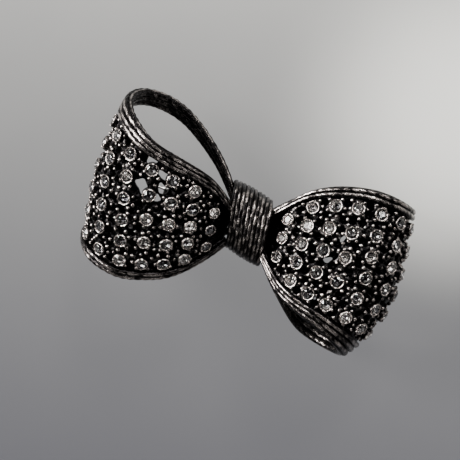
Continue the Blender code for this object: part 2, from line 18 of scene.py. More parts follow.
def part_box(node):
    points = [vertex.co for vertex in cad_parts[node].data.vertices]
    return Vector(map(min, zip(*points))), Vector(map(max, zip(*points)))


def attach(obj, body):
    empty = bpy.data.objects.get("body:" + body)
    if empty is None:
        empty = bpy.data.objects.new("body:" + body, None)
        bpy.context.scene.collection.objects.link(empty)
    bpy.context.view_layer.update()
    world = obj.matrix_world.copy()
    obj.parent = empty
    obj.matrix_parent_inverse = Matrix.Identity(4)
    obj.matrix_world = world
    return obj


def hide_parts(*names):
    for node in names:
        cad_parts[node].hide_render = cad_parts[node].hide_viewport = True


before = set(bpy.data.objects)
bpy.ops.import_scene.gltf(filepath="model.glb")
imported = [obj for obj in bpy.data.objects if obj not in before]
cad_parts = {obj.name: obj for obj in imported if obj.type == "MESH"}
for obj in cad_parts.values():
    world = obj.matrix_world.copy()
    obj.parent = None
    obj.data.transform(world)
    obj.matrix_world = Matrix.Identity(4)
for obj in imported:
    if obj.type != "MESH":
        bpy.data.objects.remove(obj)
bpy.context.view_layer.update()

MM = 0.001
LOOPS = {"right": 1, "left": -1}

# The ribbon, as in the CAD. A row of a table is a share of the ribbon's length and a size there.
ROOT_X = 2.6
END_X = 22.7
BEND_RADIUS = 6.5
MIDDLE_W = 0.9
ROOT_HALF_SPREAD = 1.85
DOME = 1.4
TILT = math.radians(10.2)
HALF_WIDTHS = (
    (0, 3.1),
    (0.12, 8.2),
    (0.28, 10.9),
    (0.5, 12.2),
    (0.72, 11.8),
    (0.88, 7.9),
    (1, 3.1),
)
MIDDLE_SHIFTS = ((0, 0), (0.28, 0.2), (0.5, -2.1), (0.72, -1.6), (1, 0))
CORNER_DRAW = {"right": 3.2, "left": 0}
CORNER_V = 12
RIM_WIDTHS = {
    1: ((0, 1.3), (0.25, 1.5), (0.5, 1.7), (0.8, 1.8), (1, 1.4)),
    -1: ((0, 1.3), (0.25, 1.9), (0.5, 2.6), (0.8, 2.4), (1, 1.4)),
}
GAP = 0.2
KNOT_FRONT_W = 5.2
KNOT_BACK_W = -3.5
KNOT_HALF_WIDTH = 5.3

# The cups and their stones, as in the CAD.
COLUMN_ROWS = (3, 5, 5, 5, 6, 6, 6)
FIRST_COLUMN_S = 3.8
COLUMN_PITCH = 3.2
FIRST_COLUMN_HALF_SPREAD = 2.9
FIRST_COLUMN_SIZE = 0.88
ROW_MARGIN = 1.3
COLUMN_SLANTS = {"right": 0.05, "left": 0.18}
SLANT_FULL_S = 8
SETTLING_ROUNDS = 8
STONE_SEAT = 0.5
CAD_STONES = 23

# Cups: their section as (radius, height), how worn each corner is, and their claws.
BEZEL_RADIUS = 1.05
BEZEL_SIDES = 28
BEZEL_PROFILE = (
    (0.62, -0.5),
    (0.72, -0.1),
    (0.8, 0.06),
    (0.83, 0.14),
    (0.88, 0.2),
    (0.95, 0.21),
    (1.01, 0.16),
    (1.05, 0.04),
    (1.05, -0.2),
    (1.1, -0.7),
    (0.8, -0.95),
)
BEZEL_WORN = (0, 0, 0.3, 0.85, 1, 1, 0.8, 0.35, 0.1, 0, 0)
CLAWS = 4
CLAW_DISTANCE = 0.93
CLAW_HEIGHT = 0.16
CLAW_RADII = (0.13, 0.19)
CLAW_SIDES = 8
CLAW_BEAD_RINGS = 5

# Stones.
STONE_RADIUS = 0.84
STONE_RISE = 0.06
STONE_LEAN = 0.1

# Grains between the cups, and the room they keep.
BEAD_RADIUS = 0.3
BEAD_WIDENING = 1.04
BEAD_SPACING = 0.8
BEAD_HEIGHT = 0.06
BEAD_START_S = 3.5
BEAD_ROOM = 0.22
BEAD_CUP_ROOM = 0.12
BEAD_PIT_ROOM = 0.62
BEAD_OPENING_ROOM = 1.6
BEAD_BAND = 1.2
BEAD_SIZES = (0.82, 1.15)
BEAD_RISES = (-0.06, 0.12)
BEAD_WEAR = (0.55, 1.05)
BEAD_SIDE_WORN = 0.35
BEAD_TOP_WORN = 0.75

# Pits between the cups, sunk and painted darker with painted shade, and the room they keep.
PIT_RADIUS = 0.6
PIT_SPACING = 1.4
PIT_DEPTH = 0.75
PIT_EASE = 1.25
PIT_CUP_OVERLAP = 0.25
PIT_PAINTED_SHADE = 0.5
PIT_ROOM = 0.45
PIT_CUP_ROOM = 0.32
PIT_OPENING_ROOM = 1.05
PIT_BAND_ALLOWANCE = 1.1

# Places tried for pits and grains.
PLAN_START = 2.6
PLAN_PAST_END = 2
PLAN_HALF_WIDTH = 10.6
PLAN_STEP = 0.15

# The dark web between the cups.
FIELD_START = 0.05
FIELD_END = 26.6
FIELD_STEP = 0.16
FIELD_COLUMNS = 118
FIELD_THICKNESS = 0.34
FIELD_UNDER_RIM = 0.55
FIELD_BACK_WORN = 0.25
WEB_LEVEL = -0.1
WEB_LUMP = 0.05
WEB_COLLAR_SLOPE = 0.22
WEB_COLLAR_REACH = 1.6
WEB_COLLAR_WIDTH = 0.6
WEB_WORN = 0.3
# The root sinks where it goes under the knot, and is painted darker there: painted shade.
ROOT_SINK_END = 3.1
ROOT_SINK_LENGTH = 1.4
ROOT_SINK = 0.45
ROOT_PAINTED_SHADE = 0.4
HEM_ROOM = 0.3
HEM_POINTS = 150
HEM_OVERRUN = 0.3
HEM_BACK = 0.15
HEM_RADIUS = 0.34
HEM_PITCH = 1.9
LIP_REACH = 1.3
LIP_WIDTH = 0.3
LIP_RISE = 0.06
LIP_THINNING = 0.08

# Openings in the web: s, v, half length, half width and turn in degrees.
OPENINGS = {
    "right": (
        (11.1, -1.1, 0.62, 0.4, 20),
        (12.3, 2.7, 0.65, 0.28, 60),
        (11.5, -7.1, 0.45, 0.26, 0),
    ),
    "left": (
        (15.1, -8.8, 0.85, 0.65, 30),
        (12.9, -7.2, 0.95, 0.6, -25),
        (12.4, -5.1, 0.7, 0.8, 0),
        (15.3, -4.3, 1.15, 0.8, -30),
        (13.1, -3.6, 0.75, 0.6, 40),
        (9.8, -0.9, 0.34, 0.26, 0),
        (15.1, 2.2, 0.3, 0.4, 20),
    ),
}

# Twisted cords: their section, and how their worn strokes come and go.
ROPE_SIDES = 12
ROPE_LOBES = 3
ROPE_DEPTH = 0.045
ROPE_WAVES = (0.9, 1.7, 3.1)
ROPE_SWELL = 0.05
WAVE_TURN = 6.3
CREST_GAIN = 2.8
CREST_START = 1.8
STROKE_MIDDLE = 0.68
STROKE_LOBE = 0.15
STROKE_RIPPLE = 0.55

# Edge bands: a flat core, its corners as (share of the band's width, height), and cords on it.
RIM_STEP = 0.15
RIM_CORE = ((0.08, -0.42), (0.92, -0.42), (0.97, -0.05), (0.92, 0.3), (0.08, 0.3), (0.03, -0.05))
RIM_CORDS = {1: 2, -1: 3}
RIM_PITCH = 3.4
RIM_FRONT = 0.3
RIM_CROWN = 0.16
RIM_BACK = -0.42
RIM_BACK_SHINE = 0.6
RIM_FULLNESS = 1.12
RIM_FLATNESS = 0.8
RIM_DEPTH = 0.05
RIM_OUTER_DEPTH = 0.11
RIM_SWAY = 0.05
RIM_SPREAD = 0.97
RIM_INSET = 0.02
EDGE_CORD_INSET = 0.12
EDGE_CORD_HEIGHT = -0.06
EDGE_CORD_RADIUS = 0.27
EDGE_CORD_PITCH = RIM_PITCH * 0.8

# The knot: cords stepped along the bow, a sleeve under them and a bar inside, out of sight.
KNOT_CORDS = 10
KNOT_CORD_RADIUS = 0.37
KNOT_CORD_POINTS = 150
KNOT_CORD_SHINE = 0.72
KNOT_HALF_LENGTH = 3.0
KNOT_SLANT = math.tan(math.radians(8))
KNOT_WIDENING = 0.07
KNOT_STEP = -0.23
KNOT_RISE = 0.55
KNOT_POWER = 0.72
KNOT_PITCH = 5.5
KNOT_ENDS_DROP = 0.22
KNOT_END_INSET = 0.6
KNOT_OUTLINE_POINTS = 2001
KNOT_SWAY = 0.06
SLEEVE_SHORTER = 0.1
SLEEVE_CORNERS = ((-1, 0.75), (-1, 0.45), (1, 0.45), (1, 0.75))
CORE_POINTS = 60
CORE_RINGS = ((-2.3, 1.2), (-2.2, 0.8), (2.2, 0.8), (2.3, 1.2))

# Edges sharper than this stay sharp in shading. The fittings' edges are eased by a small bevel.
SHARP_ANGLE = math.radians(48)
EASED_EDGE = 0.07 * MM
EASED_ANGLE = math.radians(35)

# Blackened metal: how worn it is where it starts and ends turning bright (in the web the worn value
# also holds painted shade), its roughness in the hollows and on the crests, and the depth of its
# cast skin. Steel: the depth of its brushing.
RUBBED_RANGE = (0.25, 1.05)
HOLLOW_ROUGHNESS = 0.26
CREST_ROUGHNESS = 0.14
CAST_RELIEF = 0.12 * MM
STEEL_RELIEF = 0.02 * MM

# The silvered backs differ with their place: their noise's scale a metre and its range.
FOIL_AGE_SCALE = 330.0
FOIL_AGE_RANGE = (0.36, 0.58)

# The camera leans from straight above, and looks at a place a little off the brooch's middle.
CAMERA_LEAN_Y = math.radians(13.5)
CAMERA_LEAN_X = math.radians(-2.4)
CAMERA_ROLL = math.radians(18.5)
CAMERA_DISTANCE = 0.4
CAMERA_LENS = 206.6
CAMERA_SENSOR = 36
CAMERA_CLIP = 0.01
LOOK_RIGHT = -2.63 * MM
LOOK_UP = -0.69 * MM

# The rims' twisted strands stand this far below the CAD's lowest point, so the floor is there.
FLOOR_Z = -0.3 * MM
FLOOR_REACH = 1.5

# The floor glows, and its light and shade are painted in. Its tone is a power of two that climbs by
# so much a metre to the right and up, and is held within a reach of its middle. A painted sheen, a
# lighter place, is (right, up) from the middle.
FLOOR_SLOPE = (4.5, 33.0)
FLOOR_TONE = -1.75
FLOOR_TONE_REACH = 1.6
PAINTED_SHEEN_PLACE = (0.0329, 0.0148)
PAINTED_SHEEN_REACH = 0.034
PAINTED_SHEEN_GAIN = 1.05
FLOOR_TINT = (("Red", 1.0, 0), ("Green", 0.985, 0.003), ("Blue", 0.9, 0.03))

# The sky: dim, a little lighter near the horizon, with soft boxes and small lamps high up. A box is
# its direction to the right, up and towards the camera, its inner and outer angle, and its gain.
SKY_COLOUR = (1.0, 0.97, 0.95, 1)
HORIZON_HEIGHTS = (0.1, 0.35)
HORIZON_STRENGTH = 0.5
SKY_STRENGTH = 0.03
SOFT_BOXES = (
    ((0.2, 0.66, 0.72), 5, 10, 56),
    ((0.75, 0.2, 0.6), 4, 9, 12),
    ((-0.82, 0.3, 0.5), 8, 18, 60),
    ((-0.1, -0.75, 0.6), 4, 8, 7),
)
LAMP_SCALE = 2.6
LAMP_EDGE = (0.14, 0.24)
LAMP_GAIN = 2.0
LAMP_HEIGHTS = (0.3, 0.5)

# The key light, near the camera: right, up, towards, its side and its watts.
KEY_PLACE = (0.05, 0.1, 0.5)
KEY_SIZE = 0.3
KEY_POWER = 0.12

dice = random.Random(11)
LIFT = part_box("knot_wrap")[1].z / MM - KNOT_FRONT_W


# ---- the ribbon ----


def table_curve(table, places):
    """A smooth curve through (place, value) rows, at an array of places."""
    xs = np.array([row[0] for row in table], float)
    ys = np.array([row[1] for row in table], float)
    slopes = np.gradient(ys, xs)
    slopes[1:-1] = (ys[2:] - ys[:-2]) / (xs[2:] - xs[:-2])
    i = np.clip(np.searchsorted(xs, places, side="right") - 1, 0, len(xs) - 2)
    span = xs[i + 1] - xs[i]
    t = (places - xs[i]) / span
    rise = smooth_step(t)
    bend = slopes[i] * span * t * (1 - t) ** 2 - slopes[i + 1] * span * t * t * (1 - t)
    return ys[i] * (1 - rise) + ys[i + 1] * rise + bend


def smooth_step(t):
    return t * t * (3 - 2 * t)


def ribbon_path(steps=120):
    """The ribbon's middle line seen along Y: distance, x, w and the outward direction."""
    bend_x = END_X - BEND_RADIUS
    run = bend_x - ROOT_X
    rise = 2 * (BEND_RADIUS - ROOT_HALF_SPREAD)
    t = np.arange(steps) / steps
    blend = smooth_step(t)
    x = ROOT_X * (1 - blend) + bend_x * blend + run * t * (1 - t) ** 2 - run * t * t * (1 - t)
    w = ROOT_HALF_SPREAD * (1 - blend) + BEND_RADIUS * blend + rise * t * (1 - t) ** 2
    angle = math.pi / 2 - math.pi * np.arange(steps + 1) / steps
    xs = np.concatenate([x, bend_x + BEND_RADIUS * np.cos(angle), x[::-1]])
    ws = np.concatenate([w, BEND_RADIUS * np.sin(angle), -w[::-1]])
    distance = np.concatenate([[0], np.cumsum(np.hypot(np.diff(xs), np.diff(ws)))])
    along_x = np.gradient(xs, distance)
    along_w = np.gradient(ws, distance)
    return distance, xs, ws + MIDDLE_W, -along_w, along_x


PATH = ribbon_path()
RIBBON_LENGTH = PATH[0][-1]


def half_width(s):
    return table_curve(HALF_WIDTHS, np.asarray(s, float) / RIBBON_LENGTH)


def rim_width(s, side):
    return table_curve(RIM_WIDTHS[side], np.asarray(s, float) / RIBBON_LENGTH)


def ribbon(loop, s, v, out):
    """Places on a loop as an array of points in metres."""
    s, v, out = np.broadcast_arrays(*(np.asarray(value, float) for value in (s, v, out)))
    fraction = s / RIBBON_LENGTH
    x, w, out_x, out_w = (np.interp(s, PATH[0], column) for column in PATH[1:])
    length = np.hypot(out_x, out_w)
    swell = np.maximum(np.sin(math.pi * np.clip(fraction, 0, 1)), 0)
    height = out + DOME * np.sqrt(swell) * (1 - (v / half_width(s)) ** 2)
    x = x + out_x / length * height - CORNER_DRAW[loop] * (np.minimum(v, 0) / CORNER_V) ** 2 * swell
    w = w + out_w / length * height
    y = v + table_curve(MIDDLE_SHIFTS, fraction)
    tilted_y = y * math.cos(TILT) + w * math.sin(TILT)
    tilted_z = w * math.cos(TILT) - y * math.sin(TILT)
    turn = LOOPS[loop]
    return np.stack([turn * x, turn * tilted_y, tilted_z + LIFT], -1) * MM


def unit(vectors):
    return vectors / np.linalg.norm(vectors, axis=-1, keepdims=True)


def ribbon_axes(loop, s, v):
    """Unit directions along, across and out of the ribbon at an array of places."""
    reach = 0.15
    along = unit(ribbon(loop, s + reach, v, 0) - ribbon(loop, s - reach, v, 0))
    across = ribbon(loop, s, v + reach, 0) - ribbon(loop, s, v - reach, 0)
    facing = unit(np.cross(along, across))
    return along, np.cross(facing, along), facing


def axes_at(loop, s, v):
    """The same at one place."""
    return [axis[0] for axis in ribbon_axes(loop, np.array([s]), np.array([v]))]


# ---- shapes ----


class Shape:
    """Gathers points and faces into one mesh, with how worn the metal is at each point, and in the
    web its painted shade.
    """

    def __init__(self):
        self.points = []
        self.wear_and_shade = []
        self.faces = []
        self.count = 0

    def add(self, points, faces, wear_and_shade):
        points = np.asarray(points, float).reshape(-1, 3)
        self.points.append(points)
        self.wear_and_shade.append(np.broadcast_to(np.asarray(wear_and_shade, float).reshape(-1), (len(points),)))
        self.faces += [tuple(int(i) + self.count for i in face) for face in faces]
        self.count += len(points)

    def build(self, name, material):
        mesh = bpy.data.meshes.new(name)
        mesh.from_pydata(np.concatenate(self.points).tolist(), [], self.faces)
        mesh.materials.append(material)
        wear_and_shade = mesh.attributes.new("wear_and_shade", "FLOAT", "POINT")
        wear_and_shade.data.foreach_set("value", np.concatenate(self.wear_and_shade).astype(np.float32))
        mesh.shade_smooth()
        mesh.set_sharp_from_angle(angle=SHARP_ANGLE)
        made = bpy.data.objects.new(name, mesh)
        bpy.context.collection.objects.link(made)
        return made


def tube_faces(rings, sides, closed):
    """Faces round a tube's rings of points, capped at its ends unless they join."""
    faces = []
    for i in range(rings if closed else rings - 1):
        here = i * sides
        ahead = (i + 1) % rings * sides
        for j in range(sides):
            after = (j + 1) % sides
            faces.append((here + j, ahead + j, ahead + after, here + after))
    if not closed:
        faces.append(tuple(range(sides)))
        faces.append(tuple(range(rings * sides - 1, (rings - 1) * sides - 1, -1)))
    return faces


def add_rope(
    shape, centres, across, out, radius, pitch, closed=False, depth=ROPE_DEPTH, shine=1.0
):
    """A twisted cord along the centres. Its section has lobes that turn once round in a pitch, and
    it is worn on the side that faces out, in strokes."""
    rings = len(centres)
    steps = np.linalg.norm(np.diff(centres, axis=0), axis=1)
    distance = np.concatenate([[0], np.cumsum(steps)]) / MM
    length = distance[-1]
    turns = distance / pitch
    if closed:
        whole = length + np.linalg.norm(centres[0] - centres[-1]) / MM
        turns = distance / whole * max(1, round(whole / pitch * ROPE_LOBES)) / ROPE_LOBES
    turns = turns + dice.random()
    angle = np.linspace(0, 2 * math.pi, ROPE_SIDES, endpoint=False)[None, :]
    lobe = np.cos(ROPE_LOBES * (angle - 2 * math.pi * turns[:, None]))
    ripple = np.zeros((rings, 1))
    for wave in ROPE_WAVES:
        cycles = round(length / WAVE_TURN * wave * dice.uniform(0.8, 1.2)) * WAVE_TURN / length
        ripple[:, 0] += np.sin(distance * cycles + dice.uniform(0, 6)) / len(ROPE_WAVES)
    fullness = 1 + depth * lobe + ROPE_SWELL * ripple
    radii = np.asarray(radius, float).reshape(-1, 1) * fullness / (1 + depth)
    places = (
        centres[:, None, :]
        + across[:, None, :] * (np.cos(angle) * radii * MM)[..., None]
        + out[:, None, :] * (np.sin(angle) * radii * MM)[..., None]
    )
    outward = np.clip(np.sin(angle) * CREST_GAIN - CREST_START, 0, 1)
    strokes = np.clip(STROKE_MIDDLE + STROKE_LOBE * lobe + STROKE_RIPPLE * ripple, 0, 1)
    shape.add(places, tube_faces(rings, ROPE_SIDES, closed), shine * outward * strokes)


def add_sweep(shape, sections, closed=False):
    """A dark solid through sections of equal point counts."""
    rings, sides = sections.shape[:2]
    shape.add(sections, tube_faces(rings, sides, closed), 0.0)


def add_turned(shape, origin, axes, profile, wear_and_shade, sides):
    """A ring turned round a place's facing direction from a closed (radius, height) profile."""
    along, across, facing = axes
    angle = np.linspace(0, 2 * math.pi, sides, endpoint=False)
    round_ = np.cos(angle)[:, None] * along + np.sin(angle)[:, None] * across
    profile = np.asarray(profile, float) * MM
    places = (
        origin
        + round_[:, None, :] * profile[None, :, 0, None]
        + facing[None, None, :] * profile[None, :, 1, None]
    )
    wear_and_shade = np.broadcast_to(np.asarray(wear_and_shade, float)[None, :], (sides, len(profile)))
    shape.add(places, tube_faces(sides, len(profile), True), wear_and_shade)


def add_bead(shape, origin, axes, radius, wear_and_shade=1.0, sides=12, rings=7):
    """A round grain, a little wider than high, worn on top."""
    along, across, facing = axes
    points = [origin + facing * radius * MM]
    for k in range(1, rings):
        polar = math.pi * k / rings
        for i in range(sides):
            angle = 2 * math.pi * (i + 0.5 * (k % 2)) / sides
            flat = along * math.cos(angle) + across * math.sin(angle)
            offset = flat * math.sin(polar) * BEAD_WIDENING + facing * math.cos(polar)
            points.append(origin + offset * radius * MM)
    points.append(origin - facing * radius * MM)
    faces = [(0, 1 + i, 1 + (i + 1) % sides) for i in range(sides)]
    for k in range(rings - 2):
        for i in range(sides):
            a = 1 + k * sides + i
            b = 1 + k * sides + (i + 1) % sides
            faces.append((a, a + sides, b + sides, b))
    last = len(points) - 1
    base = last - sides
    faces += [(last, base + (i + 1) % sides, base + i) for i in range(sides)]
    height = (np.array(points) - origin) @ facing / (radius * MM)
    shape.add(points, faces, wear_and_shade * np.clip(BEAD_SIDE_WORN + BEAD_TOP_WORN * height, 0, 1))


# ---- materials ----


def camera_axes():
    """Unit directions to the right, up and towards the camera."""
    towards = Vector(
        (
            math.sin(CAMERA_LEAN_X),
            math.sin(CAMERA_LEAN_Y) * math.cos(CAMERA_LEAN_X),
            math.cos(CAMERA_LEAN_Y) * math.cos(CAMERA_LEAN_X),
        )
    )
    level_up = (Vector((0, 1, 0)) - towards * towards.y).normalized()
    level_right = level_up.cross(towards)
    right = level_right * math.cos(CAMERA_ROLL) + level_up * math.sin(CAMERA_ROLL)
    up = level_up * math.cos(CAMERA_ROLL) - level_right * math.sin(CAMERA_ROLL)
    return right, up, towards


def node(tree, kind, **values):
    made = tree.nodes.new(kind)
    for name, value in values.items():
        if name in made.inputs:
            made.inputs[name].default_value = value
        else:
            setattr(made, name, value)
    return made


def noise(tree, scale, detail=3.0, roughness=0.55):
    """Noise in the object's own coordinates, scale in grains a metre."""
    place = node(tree, "ShaderNodeTexCoord")
    made = node(tree, "ShaderNodeTexNoise", Scale=scale, Detail=detail, Roughness=roughness)
    tree.links.new(place.outputs["Object"], made.inputs["Vector"])
    return made.outputs["Fac"]


def spread(tree, value, low, high, to_low, to_high, interpolation="LINEAR"):
    """The value's range low to high taken to to_low to to_high and held there."""
    ends = {"From Min": low, "From Max": high, "To Min": to_low, "To Max": to_high}
    made = node(tree, "ShaderNodeMapRange", interpolation_type=interpolation, **ends)
    tree.links.new(value, made.inputs["Value"])
    return made.outputs["Result"]


def noise_spread(tree, value, to_low, to_high):
    """The range that most of a noise lies in, taken to to_low to to_high."""
    return spread(tree, value, 0.3, 0.7, to_low, to_high)


def combine(tree, operation, first, second):
    made = node(tree, "ShaderNodeMath", operation=operation)
    for socket, value in zip(made.inputs, (first, second)):
        if isinstance(value, (int, float)):
            socket.default_value = value
        else:
            tree.links.new(value, socket)
    return made.outputs[0]


def measure(tree, operation, place, vector):
    """A place's dot product with a fixed vector, or its distance from one."""
    made = node(tree, "ShaderNodeVectorMath", operation=operation)
    made.inputs[1].default_value = vector
    tree.links.new(place, made.inputs[0])
    return made.outputs["Value"]


def mix_colours(tree, factor, first, second):
    made = node(tree, "ShaderNodeMix", data_type="RGBA")
    factors = [socket for socket in made.inputs if socket.name == "Factor"]
    tree.links.new(factor, next(socket for socket in factors if socket.type == "VALUE"))
    colours = [socket for socket in made.inputs if socket.type == "RGBA"]
    for socket, colour in zip(colours, (first, second)):
        socket.default_value = (*colour, 1)
    return next(socket for socket in made.outputs if socket.type == "RGBA")


def new_material(name, **values):
    """A material whose shader's sockets have these values, with _ for a space in their names."""
    material = bpy.data.materials.new(name)
    material.use_nodes = True
    tree = material.node_tree
    shader = tree.nodes["Principled BSDF"]
    for socket, value in values.items():
        shader.inputs[socket.replace("_", " ")].default_value = value
    return material, tree, shader


def add_bump(tree, shader, height, strength, distance):
    bump = node(tree, "ShaderNodeBump", Strength=strength, Distance=distance)
    tree.links.new(height, bump.inputs["Height"])
    tree.links.new(bump.outputs["Normal"], shader.inputs["Normal"])


def blackened_metal(name, dark, bright, use_worn=True, grain=1400.0):
    """Cast metal blackened in its hollows and rubbed bright on its crests, and darker where the
    worn values hold painted shade.
    """
    material, tree, shader = new_material(name, Metallic=1.0)
    patches = noise(tree, grain, 4.0, 0.6)
    fine = noise(tree, grain * 4, 3.0, 0.6)
    if use_worn:
        wear_and_shade = node(tree, "ShaderNodeAttribute", attribute_name="wear_and_shade").outputs["Fac"]
    else:
        wear_and_shade = noise(tree, grain * 0.35, 2.0, 0.5)
    rubbed_and_shaded = combine(tree, "ADD", wear_and_shade, noise_spread(tree, patches, -0.3, 0.2))
    factor = spread(tree, rubbed_and_shaded, *RUBBED_RANGE, 0.0, 1.0)
    tree.links.new(mix_colours(tree, factor, dark, bright), shader.inputs["Base Color"])
    smoother = spread(tree, factor, 0, 1, HOLLOW_ROUGHNESS, CREST_ROUGHNESS)
    rough = combine(tree, "ADD", smoother, noise_spread(tree, fine, -0.06, 0.1))
    tree.links.new(rough, shader.inputs["Roughness"])
    relief = combine(tree, "ADD", patches, combine(tree, "MULTIPLY", fine, 0.4))
    add_bump(tree, shader, relief, 0.6, CAST_RELIEF)
    return material


def brushed_steel(name):
    material, tree, shader = new_material(name, Metallic=1.0)
    grey = noise(tree, 900.0, 3.0, 0.6)
    factor = noise_spread(tree, grey, 0, 1)
    tint = mix_colours(tree, factor, (0.42, 0.41, 0.39), (0.62, 0.61, 0.6))
    tree.links.new(tint, shader.inputs["Base Color"])
    tree.links.new(noise_spread(tree, grey, 0.2, 0.36), shader.inputs["Roughness"])
    add_bump(tree, shader, noise(tree, 6000.0, 2.0, 0.5), 0.15, STEEL_RELIEF)
    return material


def clear_stone(name):
    """The stone's clear crown, with faint clouds inside."""
    material, tree, shader = new_material(name, Roughness=0.02, IOR=1.6, Transmission_Weight=1.0)
    cloud = spread(tree, noise(tree, 1800.0, 2.0, 0.5), 0.35, 0.7, 0, 1)
    tint = mix_colours(tree, cloud, (1.0, 0.99, 0.98), (0.9, 0.89, 0.88))
    tree.links.new(tint, shader.inputs["Base Color"])
    return material


def foil(name):
    """The silvered back of a stone, seen through it: blotted, and duller in some than in others."""
    material, tree, shader = new_material(name, Metallic=1.0)
    blot = noise(tree, 2600.0, 2.0, 0.5)
    age = node(tree, "ShaderNodeTexNoise", Scale=FOIL_AGE_SCALE, Detail=1.0)
    where = node(tree, "ShaderNodeNewGeometry").outputs["Position"]
    tree.links.new(where, age.inputs["Vector"])
    aged = spread(tree, age.outputs["Fac"], *FOIL_AGE_RANGE, 0, 1.0)
    dulled = combine(tree, "ADD", spread(tree, blot, 0.4, 0.7, 0, 0.5), aged)
    factor = spread(tree, dulled, 0, 1, 0, 1)
    tint = mix_colours(tree, factor, (0.98, 0.96, 0.94), (0.16, 0.16, 0.17))
    tree.links.new(tint, shader.inputs["Base Color"])
    tree.links.new(noise_spread(tree, blot, 0.08, 0.22), shader.inputs["Roughness"])
    return material


def glowing_floor_painted_light(name):
    """A pale floor that glows with painted light: light at the upper right, mid grey below, with a
    painted sheen.
    """
    material, tree, shader = new_material(
        name, Roughness=0.6, Base_Color=(0.02, 0.02, 0.02, 1), Emission_Strength=1.0
    )
    right, up, _ = camera_axes()
    place = node(tree, "ShaderNodeTexCoord").outputs["Object"]
    # The glow's climb to the upper right is painted light.
    slope = right * FLOOR_SLOPE[0] + up * FLOOR_SLOPE[1]
    climb = measure(tree, "DOT_PRODUCT", place, slope)
    reach = FLOOR_TONE_REACH
    held = spread(tree, climb, -reach, reach, -reach, reach)
    shade = combine(tree, "POWER", 2.0, combine(tree, "ADD", held, FLOOR_TONE))
    # A painted sheen: a pool of light painted into the floor's glow.
    painted_sheen_place = right * PAINTED_SHEEN_PLACE[0] + up * PAINTED_SHEEN_PLACE[1]
    near = measure(tree, "DISTANCE", place, (painted_sheen_place.x, painted_sheen_place.y, 0))
    painted_sheen = spread(tree, near, PAINTED_SHEEN_REACH, 0, 0, PAINTED_SHEEN_GAIN, "SMOOTHERSTEP")
    tone = combine(tree, "ADD", shade, painted_sheen)
    mottle = noise_spread(tree, noise(tree, 60.0, 3.0, 0.5), 0.98, 1.02)
    mottled = combine(tree, "MULTIPLY", tone, mottle)
    colour = node(tree, "ShaderNodeCombineColor")
    for channel, share, more in FLOOR_TINT:
        tinted = combine(tree, "ADD", combine(tree, "MULTIPLY", mottled, share), more)
        tree.links.new(tinted, colour.inputs[channel])
    tree.links.new(colour.outputs["Color"], shader.inputs["Emission Color"])
    return material


METAL = blackened_metal("blackened_silver_looks", (0.012, 0.011, 0.0112), (0.52, 0.47, 0.445))
FIELD_METAL = blackened_metal("blackened_field", (0.003, 0.0028, 0.003), (0.25, 0.235, 0.23))
FITTING_METAL = blackened_metal(
    "blackened_fittings", (0.05, 0.048, 0.046), (0.32, 0.31, 0.3), use_worn=False, grain=700.0
)
STEEL = brushed_steel("pin_steel_looks")
CROWN = clear_stone("clear_crown")
FOIL = foil("silver_foil")


# ---- the setting ----


def slanted(loop, s, v):
    """s of a place once its column leans. The lean grows from nothing at the root."""
    return s - COLUMN_SLANTS[loop] * np.minimum(np.asarray(s, float) / SLANT_FULL_S, 1) * v


def inner_reach(s, side):
    """How far the front reaches on this side, short of the edge band."""
    return half_width(s) - rim_width(s, side) - GAP


def field_reach(loop, s, side):
    """The same for a column that leans, found by trying again until it settles."""
    reach = 0
    for _ in range(SETTLING_ROUNDS):
        reach = inner_reach(slanted(loop, s, side * reach), side)
    return reach


def cup_places(loop):
    """(s, v, size) of every cup of a loop, column by column."""
    cups = []
    for column, rows in enumerate(COLUMN_ROWS):
        s = FIRST_COLUMN_S + column * COLUMN_PITCH
        top = FIRST_COLUMN_HALF_SPREAD
        bottom = -top
        size = FIRST_COLUMN_SIZE
        if column:
            top = float(field_reach(loop, s, 1)) - ROW_MARGIN
            bottom = ROW_MARGIN - float(field_reach(loop, s, -1))
            size = 1.0
        for row in range(rows):
            v = top + (bottom - top) * row / (rows - 1)
            cups.append((float(slanted(loop, s, v)), v, size))
    return cups


def room_at(loop, s, v):
    """Distance from each (s, v) to the edge bands and the hem."""
    sides = np.minimum(inner_reach(s, 1) - v, inner_reach(s, -1) + v)
    return np.minimum(sides, FIELD_END - COLUMN_SLANTS[loop] * v - s - HEM_ROOM)


def nearest(points, s, v):
    """Distance from each (s, v) to the nearest of the points."""
    points = np.array([(p[0], p[1]) for p in points])
    return np.min(np.hypot(s[..., None] - points[:, 0], v[..., None] - points[:, 1]), axis=-1)


def spread_out(candidates, spacing):
    """Takes candidates in order, leaving out any that is too near one already taken."""
    taken = []
    for s, v, *rest in candidates:
        if all((s - a) ** 2 + (v - b) ** 2 >= spacing**2 for a, b, *_ in taken):
            taken.append((s, v, *rest))
    return taken


def opening_value(loop, s, v):
    """Under 1 inside an opening; also the nearest opening's middle."""
    best = np.full(np.shape(s), 99.0)
    middle_s = np.zeros(np.shape(s))
    middle_v = np.zeros(np.shape(s))
    for number, (place_s, place_v, length, width, turn) in enumerate(OPENINGS[loop]):
        turn = math.radians(turn)
        a = (s - place_s) * math.cos(turn) + (v - place_v) * math.sin(turn)
        b = (v - place_v) * math.cos(turn) - (s - place_s) * math.sin(turn)
        angle = np.arctan2(b / width, a / length)
        wobble = 1 + 0.16 * np.sin(2 * angle + number) + 0.13 * np.sin(3 * angle + 2.1 * number)
        value = np.hypot(a / length, b / width) / wobble
        nearer = value < best
        best = np.where(nearer, value, best)
        middle_s = np.where(nearer, place_s, middle_s)
        middle_v = np.where(nearer, place_v, middle_v)
    return best, middle_s, middle_v


